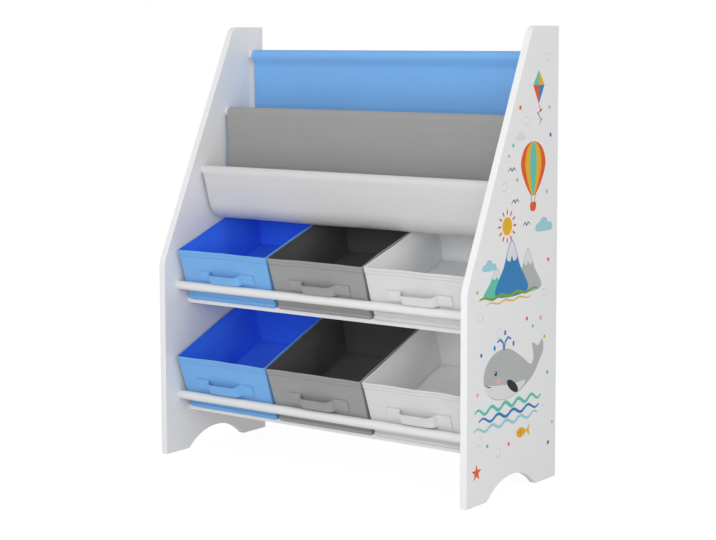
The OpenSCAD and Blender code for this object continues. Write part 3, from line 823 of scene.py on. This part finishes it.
def sew(lines, pitch=4.2):
    """Points and faces of the stitches along several lines. A line is its points and the way the
    thread stands up there, one for each point or one for all."""
    points, faces, count = [], [], 0
    for line, rise in lines:
        line = np.asarray(line, float)
        rise = np.broadcast_to(np.asarray(rise, float), line.shape)
        reach = distance_along(line)
        number = max(1, int(reach[-1] / pitch))
        at = (np.arange(number) + 0.5) * reach[-1] / number
        ends = [np.stack([np.interp(at + shift, reach, line[:, k]) for k in range(3)], -1)
                for shift in (-1, 0, 1)]
        up = np.stack([np.interp(at, reach, rise[:, k]) for k in range(3)], -1)
        run = ends[2] - ends[0]
        run /= np.linalg.norm(run, axis=1)[:, None]
        up -= (up * run).sum(1)[:, None] * run
        up /= np.linalg.norm(up, axis=1)[:, None]
        part, cells = stitches(ends[1], run, up)
        points.append(part)
        faces.append(cells + count)
        count += len(part)
    return np.concatenate(points), np.concatenate(faces)


points, faces = sew([([[0, 0, 0], [100, 0, 0]], [0, 0, 1])])
print("a seam of 100 mm has", len(points) // (STITCH_RINGS * STITCH_SPOKES), "stitches")

# %% [markdown]
# Now the sheets are cut and hung. A sheet is a single surface, and the Solidify modifier gives
# it its thickness to both sides, so the path stays its middle. The side edges are folded back
# and sewn: each hem is a narrow strip behind its sheet, as two layers show in a real one.

# %% Hanging a sheet
def hang(name, path, columns, lift, material):
    """A sheet along the path, carried along X over the columns, moved off the path by lift."""
    reach = distance_along(path)
    line = path + lift * normal_of(path)
    points = np.empty((len(path), len(columns), 3))
    points[..., 0] = columns
    points[..., 1:] = line[:, None]
    uv = np.stack(np.broadcast_arrays(columns[None], reach[:, None]), -1)
    points = points + slack(points)
    piece = add_mesh(name, points, grid_faces(*points.shape[:2]), [material], "frame", uv=uv)
    layer = piece.modifiers.new("cloth", "SOLIDIFY")
    layer.thickness, layer.offset, layer.use_even_offset = CLOTH * MM, 0, True
    edge = piece.modifiers.new("folded edge", "BEVEL")
    edge.width, edge.segments, edge.limit_method = CLOTH * 0.4 * MM, 2, "ANGLE"
    return piece, reach[-1]


# %% Sewing the sheets
half_cloth = box_mm("sling_front_cloth")[1][0]
x_columns = np.linspace(-1, 1, 121)
SIDE_HEM, HEM_STITCH, HEM_LIFT = 11.0, 8.0, 0.06
CLOTH_STEP, BACK_INSET, MIDDLE_HEM_END, SLEEVE_REACH = 2.6, 2.0, 430.0, 60.0
threads = {"white": cloth_material("white thread", linear(226, 226, 230), threads=2500.0),
           "blue": cloth_material("blue thread", linear(120, 178, 232), threads=2500.0),
           "grey": cloth_material("grey thread", linear(166, 166, 168), threads=2500.0)}
SHEETS = {"back": ("top", "blue"), "middle": ("middle", "grey"), "front": ("front", "white")}

for part, (rod, colour) in SHEETS.items():
    path, at = resample(soften(paths[part]), CLOTH_STEP)
    half_sheet = half_cloth - (BACK_INSET if part == "back" else 0)
    sheet, length = hang(f"sling_{part}", path, x_columns * half_sheet, 0, sling_cloth[part])
    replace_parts(sheet, f"sling_{part}_cloth")
    # the sleeve is closed where its end meets the path for the second time
    to_seam = np.hypot(*(path - sling_centres[part] - [0, -SEAM_DROP]).T)
    seam = int(np.argmin(to_seam + 50 * (at < SLEEVE_REACH)))
    # the side hems run from there to the pocket's turn, a fixed height or the lower end
    hem_end = {"back": int(np.argmin(path[:, 1])), "front": len(path) - 1,
               "middle": int(np.argmin(np.abs(path[:, 1] - MIDDLE_HEM_END)))}[part]
    normals = -normal_of(path)
    hemmed, away = path[seam + 5:hem_end], normals[seam + 5:hem_end]
    sides, lines = [], []
    for side, edge in (("left", -half_sheet), ("right", half_sheet)):
        inner = np.sort([edge, edge - math.copysign(SIDE_HEM, edge)])
        hem, _ = hang(f"sling_{part}_hem_{side}", hemmed, np.linspace(*inner, 4),
                      CLOTH + HEM_LIFT, sling_cloth[part])
        sides.append(hem)
        line = hemmed + away * CLOTH / 2
        at_edge = np.column_stack([np.full(len(line), edge - math.copysign(HEM_STITCH, edge)), line])
        rise = np.column_stack([np.zeros(len(line)), away])
        lines.append((at_edge + slack(at_edge), rise))
    # one seam closes the sleeve, and a second one holds a pocket's end to the middle sheet
    for row in [seam] + ([len(path) - 4] if part != "middle" else []):
        shown = 1 if row == seam or part == "back" else -1
        spot = path[row] + normals[row] * CLOTH / 2 * shown
        rise = np.array([0, *normals[row]]) * shown
        ends = np.column_stack([x_columns[2:-2] * half_sheet, np.tile(spot, (len(x_columns) - 4, 1))])
        lines.append((ends + slack(ends), rise))
    points, faces = sew(lines)
    thread = add_mesh(f"sling_{part}_thread", points, faces, [threads[colour]], "frame", merge=0.001)
    print(part, "sheet is cut", round(2 * half_sheet), "x", round(length), "mm, seam at row", seam)

# %% [markdown]
# ## Bins
#
# A bin is sewn from two layers of cloth round a stiff lining, with a folded hem at its rim and
# a narrow seam round its bottom. A box with a Solidify modifier would have neither hem nor
# seam. Here the surface is one closed grid: rounded rectangles are the loops, and the wall's
# own profile, from the middle of the bottom outwards, up, over the rim and down to the middle
# of the floor inside, gives the rows.

# %% Sizes of a bin
COLOURS = ("blue", "grey", "white")
BINS = [(level, column, colour) for level in LEVELS for column, colour in zip((-1, 0, 1), COLOURS)]
bin_low, bin_high = box_mm("upper_grey_bin")
blue_low, blue_high = box_mm("upper_blue_bin")
bin_pitch = ((bin_low + bin_high) - (blue_low + blue_high))[0] / 2
_, base_high = box_mm("upper_grey_base")
BIN_WALL, BASE_FIT = 3.0, 0.5


def corners_on_level(level, node):
    """Distance up the slope and height square to it of every corner of a solid."""
    mesh = frame["nodes"][node].data
    places = np.zeros(3 * len(mesh.vertices))
    mesh.vertices.foreach_get("co", places)
    corner, along, square = level_frames[level]
    away = places.reshape(-1, 3)[:, 1:] / MM - corner
    return away @ along, away @ square


bin_s, bin_n = corners_on_level("upper", "upper_grey_bin")
bin_depth = bin_s[bin_n < 1].max()
rim_depth = bin_s[bin_n > BIN_HEIGHT - 1].max() - HEM_RELIEF
rim_half = bin_high[0] - HEM_RELIEF
# the walls widen evenly, so the foot's half width follows from the base board's and the rim's
foot_half = (base_high[0] + BIN_WALL + BASE_FIT
             - (rim_half - base_high[0] - BIN_WALL - BASE_FIT) * BIN_WALL / (BIN_HEIGHT - BIN_WALL))
print("bin rim", round(2 * bin_high[0], 1), "foot", round(2 * foot_half, 1),
      "depth at the bottom", round(bin_depth, 1), "and at the rim", round(rim_depth, 1))

# %% Loops of a bin
SIDE_POINTS, CORNER_POINTS, CORNER = 26, 5, 2.2


def rounded_loop(half_x, half_s, radius):
    """A rounded rectangle round the origin as (x, s): corner arcs joined by straight sides. Its
    number of points never changes, so loops of any size join up to a grid."""
    loop = []
    for quarter in range(4):
        a = np.radians(np.linspace(90 * quarter - 90, 90 * quarter, CORNER_POINTS))
        sign = np.array([(1, -1), (1, 1), (-1, 1), (-1, -1)][quarter])
        corner = sign * (np.array([half_x, half_s]) - radius)
        curve = corner + radius * np.stack([np.cos(a), np.sin(a)], -1)
        if loop:
            loop.append(np.linspace(loop[-1][-1], curve[0], SIDE_POINTS + 2)[1:-1])
        loop.append(curve)
    loop.append(np.linspace(loop[-1][-1], loop[0][0], SIDE_POINTS + 2)[1:])
    return np.concatenate(loop)


print("points in a loop:", len(rounded_loop(50, 50, CORNER)))

# %% Profile of a bin
# each row says how far its loop is set in, how high it lies, and its size as a share
# the bottom with its seam, and the groove over the seam
OUTER = [(0, 0, 0), (0, 0, 0.3), (0, 0, 0.6), (0, 0, 0.85), (0, 0, 0.96), (0.7, 0, 1), (0.2, 0.2, 1),
         (0, 0.8, 1), (-0.9, 2.4, 1), (-1.0, 6.6, 1), (-0.5, 7.3, 1), (2.3, 7.8, 1), (2.4, 10.2, 1),
         (0.6, 10.7, 1), (0, 11.6, 1)]
# the wall, then the hem with its row of stitches
OUTER += [(0, n, 1) for n in np.linspace(13, 79, 18)]
OUTER += [(0, 81.6, 1), (0.7, 82.2, 1), (0.7, 82.9, 1), (-0.6, 83.2, 1), (-0.75, 84, 1), (-0.7, 86.1, 1),
          (-0.15, 86.6, 1), (-0.15, 87.2, 1), (-0.65, 87.7, 1), (-0.6, 91.8, 1), (-0.4, 92.6, 1),
          (0.1, 93, 1)]
# inside: over the rim, down the wall and along the floor to its middle
INNER = [(0.5, 92.8, 1), (0.8, 92, 1), (0.9, 90, 1), (0.9, 87, 1), (0.9, 83, 1)]
INNER += [(1.4, n, 1) for n in np.linspace(80, 30, 10)]
INNER += [(1.9, 22, 1), (2.6, 14, 1), (2.9, 8, 1), (3, 4.5, 1), (3.2, 3.1, 1), (4, 2.85, 1),
          (6, 2.85, 0.97), (6, 2.85, 0.85), (6, 2.85, 0.6), (6, 2.85, 0.3), (6, 2.85, 0)]
PROFILE = np.array(OUTER + INNER, float)
print("rows of a bin's grid:", len(OUTER), "outside,", len(INNER), "inside")

# %% [markdown]
# Cloth round a stiff lining is never flat, and flat walls look moulded. The dents could be
# pushed in by hand with a sculpting brush. A few crossed sine waves are simpler and give each
# bin dents of its own through a seed. They die out at the corners, where the seams hold the
# cloth. A bin also settles as a whole: its front leans on the guard rail, its rear wall leans
# out, and its side walls bulge into the free space beside them.

# %% Dents and folds
CREASE, CREASE_REACH = 6.0, 90


def half_width(n):
    """Half the width of a bin's outside at height n: it widens evenly up to the rim."""
    return foot_half + (rim_half - foot_half) * n / BIN_HEIGHT


def dents(x, s, n, seed):
    """How far the wall gives way inwards at a point of its outside, in millimetres. Sums of long
    waves in x, s and n, gone at the corners, at the bottom and under the sewn strap. The side
    walls add the crease along which an empty bin folds flat, deepest halfway along the wall."""
    chance = np.random.default_rng(seed).uniform(0, 6.28, 8)
    side = np.abs(x) / half_width(n) > np.abs(s) / (bin_depth / 2)
    along_wall = np.where(side, s / (bin_depth / 2), x / half_width(n))
    free = ease(1 - np.abs(along_wall), 0.0, 0.45) * ease(n, 4, 45)
    wave = (np.sin(x / 23 + s / 31 + chance[0]) * np.sin(n / 27 + chance[1])
            + 0.6 * np.sin(x / 13 - s / 12 + n / 19 + chance[2])
            + 0.35 * np.sin(n / 8 + x / 37 + chance[3]) * np.sin(s / 21 + chance[4]))
    strap = (1 - ease(np.abs(x), 62, 78)) * ease(n, 28, 38) * (1 - ease(n, 61, 76)) * (s < 0)
    crease = (CREASE * np.clip(1 - np.abs(s) / CREASE_REACH, 0, 1)
              * ease(n, 6, 40) * (1 - ease(n, 60, 92)) * side)
    return free * (1 - strap) * (1.1 + 0.65 * wave) + crease


print("the side wall gives way by", dents(half_width(50), 0.0, 50.0, 5).round(1), "mm at half height")

# %% How a bin settles
RIM_LIFT = {"upper": -0.5, "lower": 6.3}
LEAN_BACK = {"upper": 2.5, "lower": 4.75}
BULGE = {-1: (-5.0, 0.1), 0: (-1.1, 4.1), 1: (2.9, 3.0)}


def settle(level, column, x, s, n):
    """A soft bin's own stance: its front wall leans back over the guard rail, its rear wall out to
    the rim's depth, its side walls bulge towards the free space beside them, and its rim sags or
    stands up a little. Takes and returns x, s and n in the level's frame."""
    share = np.clip(s / bin_depth, 0, 1)
    back = LEAN_BACK[level] * ease(n, 8, 110) * (1 - share)
    out = (rim_depth - bin_depth) * np.asarray(n, float) / BIN_HEIGHT * share
    bulge = np.interp(x, (-rim_half, rim_half), BULGE[column]) * np.sin(math.pi * share ** 1.6)
    rise = RIM_LIFT[level] * ease(n, 20, 93)
    return x + column * bin_pitch + bulge * ease(n, 10, 90), s + back + out, n + rise


print("the lower rims stand up by", RIM_LIFT["lower"], "mm, the upper ones by", RIM_LIFT["upper"])


# %% Grid of a bin
def outwards(loop, half_x):
    """The way out of the wall at each point of a loop, as (x, s): along x on the side walls, and
    along s on the front and the rear."""
    side = np.abs(loop[:, :1]) / half_x > np.abs(loop[:, 1:]) / (bin_depth / 2)
    return np.sign(loop) * np.concatenate([side, ~side], 1)


def bin_points(level, column, profile, seed):
    """The bin's grid: row by row, loops set in by the profile and shrunk to its factor. The groove
    over the bottom seam is only at the front and the rear."""
    rows = []
    for row, (inset, n, factor) in enumerate(profile):
        over_seam = row < len(OUTER) and 7.5 < n < 11
        inset_x = half_width(n) - (0 if over_seam else inset)
        loop = rounded_loop(inset_x, bin_depth / 2 - inset, max(CORNER - inset, 0.8))
        give = dents(loop[:, 0], loop[:, 1], n, seed)
        loop = (loop - give[:, None] * outwards(loop, inset_x)) * factor
        rows.append(on_level(level, *settle(level, column, loop[:, 0], loop[:, 1] + bin_depth / 2, n)))
    return np.array(rows)


def bin_uv(profile):
    """Cloth coordinates: the distance round the rim's loop and the distance along the profile,
    where the bottom counts with what its loops shrink by."""
    round_it = distance_along(rounded_loop(rim_half, bin_depth / 2, CORNER))
    up_it = distance_along(profile[:, :2]) + (1 - profile[:, 2]) * 90
    return np.stack(np.broadcast_arrays(round_it[None], up_it[:, None]), -1)


print("a bin's rim is", round(bin_uv(PROFILE)[0, -1, 0]), "mm long")

# %% Sewing the bins
SEAM_RINGS = ((86.9, -0.14), (4.6, -0.98))
for level, column, colour in BINS:
    body = f"{level}_{colour}"
    seed = 11 * LEVELS.index(level) + column + 5
    points = bin_points(level, column, PROFILE, seed)
    rows, cols = points.shape[:2]
    pick = np.repeat([0] * (len(OUTER) - 1) + [1] * len(INNER), cols - 1)
    shell = add_mesh(f"{body}_shell", points, grid_faces(rows, cols),
                     [bin_cloth[colour], lining_painted_light[colour]], body, uv=bin_uv(PROFILE), pick=pick)
    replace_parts(shell, f"{body}_bin")
    seams = []
    for n, inset in SEAM_RINGS:
        ring = rounded_loop(half_width(n) - inset, bin_depth / 2 - inset, CORNER)
        out = outwards(ring, half_width(n))
        ring = ring - dents(ring[:, 0], ring[:, 1], n, seed)[:, None] * out
        line = on_level(level, *settle(level, column, ring[:, 0], ring[:, 1] + bin_depth / 2, n))
        rise = on_level(level, out[:, 0], out[:, 1], 0) - on_level(level, 0, 0, 0)
        seams.append((line, rise))
    points, faces = sew(seams)
    add_mesh(f"{body}_thread", points, faces, [threads[colour]], body, merge=0.001)
print("bins:", len(BINS), "with a grid of", rows, "by", cols, "points each")

# %% [markdown]
# ## Handles
#
# The handle is a cotton strap sewn to the front wall at both ends. Between them it stands off
# as a flat loop for the fingers. A curve with a flat bevel could make it, but a section carried
# along a path as one grid can also narrow and sag in the loop and follow the wall's lean. Each
# end carries the usual box of stitches with a cross.

# %% Strap
STRAP_SPAN, LOOP_SPAN, LOOP_ROOM, STRAP_WIDTH, STRAP = 122.0, 68.0, 9.4, 19.0, 1.5
HANDLE_BASE, LOOP_SAG = 39.0, 1.5
STRAP_STEP, SECTION_POINTS, SECTION_LENGTH = 1.5, 25, 43
BOX_SEAM, WALL_GAP, THREAD_LIFT = 2.2, 0.02, 0.05
SEWN_OFF = {"upper": (2, 4, 4), "lower": (0, 2, 3.5)}


def strap_path():
    """The strap's middle as (x, s): flat on the wall, out in a full arch, and flat again. The arch
    is 1 less a power of x over half its span, steep on the left and softer on the right."""
    x = np.linspace(-STRAP_SPAN / 2, STRAP_SPAN / 2, 500)
    u = x / (LOOP_SPAN / 2)
    room = LOOP_ROOM * (1 - np.clip(-u, 0, 1) ** 22) * (1 - np.clip(u, 0, 1) ** 9)
    return soften(np.column_stack([x, -STRAP / 2 - WALL_GAP - room]), 1.7)


def strap_points(path):
    """The strap's closed grid: a flat section, powers of a cosine and a sine, along the path,
    drawn together at both ends. The loop is a tenth narrower than the ends and sags a little."""
    a = np.linspace(0, 2 * math.pi, SECTION_POINTS)
    wide = np.sign(np.cos(a)) * np.abs(np.cos(a)) ** 0.12 * STRAP_WIDTH / 2
    thick = np.sign(np.sin(a)) * np.abs(np.sin(a)) ** 0.5 * STRAP / 2
    size = np.ones(len(path) + 4)
    size[:2], size[-2:] = (0, 0.9), (0.9, 0)
    path = np.concatenate([path[:1], path[:1], path, path[-1:], path[-1:]])
    path[[1, -2], 0] *= 1.001
    side = normal_of(path[2:-2])
    side = np.concatenate([side[:1], side[:1], side, side[-1:], side[-1:]])
    x = path[:, :1] + side[:, :1] * thick * size[:, None]
    s = path[:, 1:] * (1 + 0.014 * wide) + side[:, 1:] * thick * size[:, None]
    loose = np.clip(-path[:, 1:] - STRAP / 2, 0, LOOP_ROOM) / LOOP_ROOM
    n = HANDLE_BASE + STRAP_WIDTH / 2 + wide * size[:, None] * (1 - 0.1 * loose) - LOOP_SAG * loose
    return x, s, n


path, at = resample(strap_path(), STRAP_STEP)
x, s, n = strap_points(path)
print("a strap is", round(at[-1]), "mm long, its grid", x.shape)

# %% Sewing the handles on
box_w = np.array([38.0, 58.0])
box_n = np.array([HANDLE_BASE + BOX_SEAM, HANDLE_BASE + STRAP_WIDTH - BOX_SEAM])
# four sides and two diagonals, each between two corners of the box: width, then height
BOX = [((0, 0), (1, 0)), ((1, 0), (1, 1)), ((1, 1), (0, 1)), ((0, 1), (0, 0)), ((0, 0), (1, 1)),
       ((0, 1), (1, 0))]
along_strap, round_section = np.arange(len(x)) * STRAP_STEP, np.linspace(0, SECTION_LENGTH, SECTION_POINTS)
uv = np.stack(np.broadcast_arrays(along_strap[:, None], round_section), -1)
for level, column, colour in BINS:
    body = f"{level}_{colour}"
    off = SEWN_OFF[level][column + 1]
    points = on_level(level, *settle(level, column, x + off, s, n))
    strap = add_mesh(f"{body}_strap", points, grid_faces(*points.shape[:2]), [bin_cloth[colour]],
                     body, uv=uv)
    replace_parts(strap, f"{body}_handle")
    lines = []
    for ends in np.array([(side * box_w[[a, c]], box_n[[b, d]]) for side in (-1, 1)
                          for (a, b), (c, d) in BOX]):
        in_front = np.full(2, -STRAP - THREAD_LIFT)
        line = on_level(level, *settle(level, column, ends[0] + off, in_front, ends[1]))
        lines.append((line, -np.array([0, *level_frames[level][1]])))
    points, faces = sew(lines, pitch=3.4)
    add_mesh(f"{body}_strap_thread", points, faces, [threads[colour]], body, merge=0.001)
print("handles sewn on:", len(BINS))

# %% [markdown]
# ## Loose boards in the bins
#
# A thin board covered in cloth keeps each bin's floor flat. It could be a bevelled cube. The
# loops of the bin are at hand, though, and with a short profile they make a slab whose soft
# edges and corners match the bin round it.

# %% Base boards
base_half, base_s = base_high[0], BIN_WALL + BASE_FIT
BASE = np.array([(0, 3, 0), (0, 3, 0.5), (0, 3, 0.9), (0.8, 3, 1), (0.15, 3.35, 1), (0, 4, 1),
                 (0, 9, 1), (0.15, 9.65, 1), (0.8, 10, 1), (0, 10, 0.9), (0, 10, 0.5), (0, 10, 0)], float)
PADDING = {"upper": 0.8, "lower": 3.2}
for level, column, colour in BINS:
    body = f"{level}_{colour}"
    rows = []
    for inset, n, factor in BASE:
        loop = rounded_loop(base_half - inset, bin_depth / 2 - base_s - inset, 3) * factor
        rows.append(on_level(level, loop[:, 0] + column * bin_pitch, loop[:, 1] + bin_depth / 2,
                             n + PADDING[level] * (n > 4)))
    board = add_mesh(f"{body}_base_board", np.array(rows), grid_faces(*np.array(rows).shape[:2]),
                     [lining_painted_light[colour]], body, uv=bin_uv(BASE))
    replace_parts(board, f"{body}_base")
print("a loose board is", round(2 * base_half), "x", round(bin_depth - 2 * base_s), "mm")

# %% [markdown]
# ## Studio
#
# A pale floor and a white surrounding give the clean cut-out look. More light on the shelf would
# whiten them too, but it would burn out the white paint. Light Path tells the camera's rays
# from the others, so the camera sees white while the light that falls on the shelf stays lower
# and pale paint keeps its modelling. Three large soft lamps stand low in front of the shelf:
# to the right, to the left and far to the right. They light the bins' insides, which a lamp
# overhead alone would leave dark. A weak fourth one overhead lights the tops. The floor keeps
# a faint shadow.

# %% World and lamps
def area_lamp(name, place, aim, size, power):
    """A square soft lamp at a place, turned towards a point. Millimetres and watts."""
    data = bpy.data.lights.new(name, "AREA")
    data.size, data.energy = size * MM, power
    lamp = bpy.data.objects.new(name, data)
    lamp.location = [v * MM for v in place]
    way = np.array(aim, float) - place
    yaw, pitch = math.atan2(way[0], way[1]), math.atan2(math.hypot(way[0], way[1]), -way[2])
    lamp.rotation_euler = (pitch, 0, -yaw)
    bpy.context.scene.collection.objects.link(lamp)
    return lamp


WORLD_LIGHT, WORLD_SEEN = 0.573, 1.0
bpy.context.scene.view_settings.view_transform = "Standard"
world = bpy.data.worlds.new("studio")
bpy.context.scene.world = world
world.use_nodes = True
tree = world.node_tree
light_path = add_node(tree, "ShaderNodeLightPath")
seen = math_node(tree, "MAXIMUM", light_path.outputs["Is Camera Ray"],
                 light_path.outputs["Is Glossy Ray"])
seen = math_node(tree, "MAXIMUM", seen, light_path.outputs["Is Transmission Ray"])
strength = add_node(tree, "ShaderNodeMix", {"Factor": seen, "A": WORLD_LIGHT, "B": WORLD_SEEN})
tree.nodes["Background"].inputs["Color"].default_value = (1, 1, 1, 1)
tree.links.new(strength.outputs["Result"], tree.nodes["Background"].inputs["Strength"])

area_lamp("key", (1000, -2200, 900), (0, 0, 250), 1200, 16.3)
area_lamp("fill", (-300, -2400, 900), (0, 0, 250), 1200, 6.6)
area_lamp("side", (2100, -900, 1200), (0, 0, 350), 1500, 7.6)
area_lamp("top", (0, 0, 2400), (0, 0, 0), 1500, 3.5)
print("lamps:", len(bpy.data.lights))

# %% Floor
FLOOR_REACH, FLOOR_SUNK = 6000, 0.05
GLOW, GLOW_SHARE = 1.12, 0.8
floor_points = np.array([[-1, -1, 0], [1, -1, 0], [1, 1, 0], [-1, 1, 0]]) * FLOOR_REACH - [0, 0, FLOOR_SUNK]
floor_material, tree, shader = new_material("pale floor")
where = add_node(tree, "ShaderNodeTexCoord")
speck = add_node(tree, "ShaderNodeTexNoise", {"Vector": where.outputs["Object"], "Scale": 3.0})
ramp = add_node(tree, "ShaderNodeMapRange", {"Value": speck.outputs[0], "To Min": 0.9, "To Max": 0.94})
tree.links.new(ramp.outputs[0], shader.inputs["Base Color"])
shader.inputs["Roughness"].default_value = 1.0
shader.inputs["Specular IOR Level"].default_value = 0.0
glow = add_node(tree, "ShaderNodeEmission", {"Color": (1, 1, 1, 1), "Strength": GLOW})
light_path = add_node(tree, "ShaderNodeLightPath")
share = math_node(tree, "MULTIPLY", light_path.outputs["Is Camera Ray"], GLOW_SHARE)
mixed = add_node(tree, "ShaderNodeMixShader", {0: share, 1: shader.outputs[0], 2: glow.outputs[0]})
tree.links.new(mixed.outputs[0], tree.nodes["Material Output"].inputs["Surface"])
mesh = bpy.data.meshes.new("floor")
mesh.from_pydata((floor_points * MM).tolist(), [], [(0, 1, 2, 3)])
mesh.materials.append(floor_material)
floor = bpy.data.objects.new("floor", mesh)
bpy.context.scene.collection.objects.link(floor)
print("floor:", 2 * FLOOR_REACH * MM, "m square")
